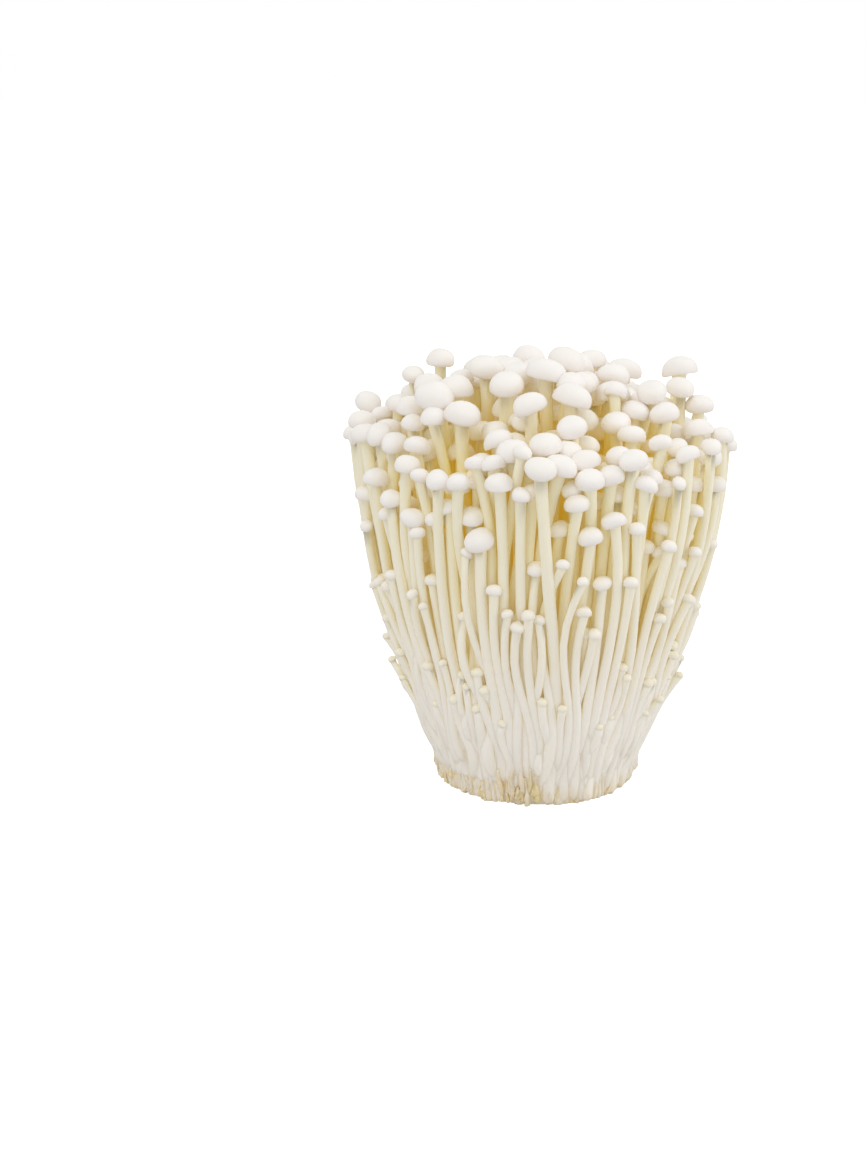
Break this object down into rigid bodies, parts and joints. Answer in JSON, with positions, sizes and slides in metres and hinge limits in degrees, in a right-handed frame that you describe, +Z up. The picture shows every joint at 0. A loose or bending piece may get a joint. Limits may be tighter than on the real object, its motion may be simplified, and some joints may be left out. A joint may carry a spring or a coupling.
{
  "type": "enoki mushroom bunch",
  "caption": "Fresh enoki mushroom bunch standing on its cut base, thin pale stems fanning out to a domed crown of small button caps.",
  "frame": {"origin": "middle of the butt's flat cut face, which rests on the table", "axes": "+Z up along the middle of the bunch, from the cut face to the crown; -Y towards the viewer, +X to the viewer's right"},
  "size_m": [0.1074, 0.1023, 0.1365],
  "materials": {
    "mushroom_flesh": "satin",
    "fused_stem_feet": "matte"
  },
  "bodies": {
    "root": {"butt": "fused_stem_feet", "middle_tuft_01": "mushroom_flesh", "middle_tuft_02": "mushroom_flesh", "middle_tuft_03": "mushroom_flesh", "middle_tuft_04": "mushroom_flesh", "middle_tuft_05": "mushroom_flesh", "middle_tuft_06": "mushroom_flesh", "middle_tuft_07": "mushroom_flesh", "middle_tuft_08": "mushroom_flesh", "middle_tuft_09": "mushroom_flesh", "middle_tuft_10": "mushroom_flesh", "middle_tuft_11": "mushroom_flesh", "middle_tuft_12": "mushroom_flesh", "crown_tuft_01": "mushroom_flesh", "crown_tuft_02": "mushroom_flesh", "crown_tuft_03": "mushroom_flesh", "crown_tuft_04": "mushroom_flesh", "crown_tuft_05": "mushroom_flesh", "crown_tuft_06": "mushroom_flesh", "crown_tuft_07": "mushroom_flesh", "crown_tuft_08": "mushroom_flesh", "crown_tuft_09": "mushroom_flesh", "crown_tuft_10": "mushroom_flesh", "crown_tuft_11": "mushroom_flesh", "crown_tuft_12": "mushroom_flesh", "crown_tuft_13": "mushroom_flesh", "crown_tuft_14": "mushroom_flesh", "crown_tuft_15": "mushroom_flesh", "crown_tuft_16": "mushroom_flesh", "rim_tuft_01": "mushroom_flesh", "rim_tuft_02": "mushroom_flesh", "rim_tuft_03": "mushroom_flesh", "rim_tuft_04": "mushroom_flesh", "rim_tuft_05": "mushroom_flesh", "rim_tuft_06": "mushroom_flesh", "rim_tuft_07": "mushroom_flesh", "rim_tuft_08": "mushroom_flesh", "rim_tuft_09": "mushroom_flesh", "rim_tuft_10": "mushroom_flesh", "rim_tuft_11": "mushroom_flesh", "rim_tuft_12": "mushroom_flesh", "rim_tuft_13": "mushroom_flesh", "rim_tuft_14": "mushroom_flesh", "rim_tuft_15": "mushroom_flesh", "rim_tuft_16": "mushroom_flesh", "rim_tuft_17": "mushroom_flesh", "rim_tuft_18": "mushroom_flesh", "rim_tuft_19": "mushroom_flesh", "rim_tuft_20": "mushroom_flesh"}
  },
  "joints": []
}
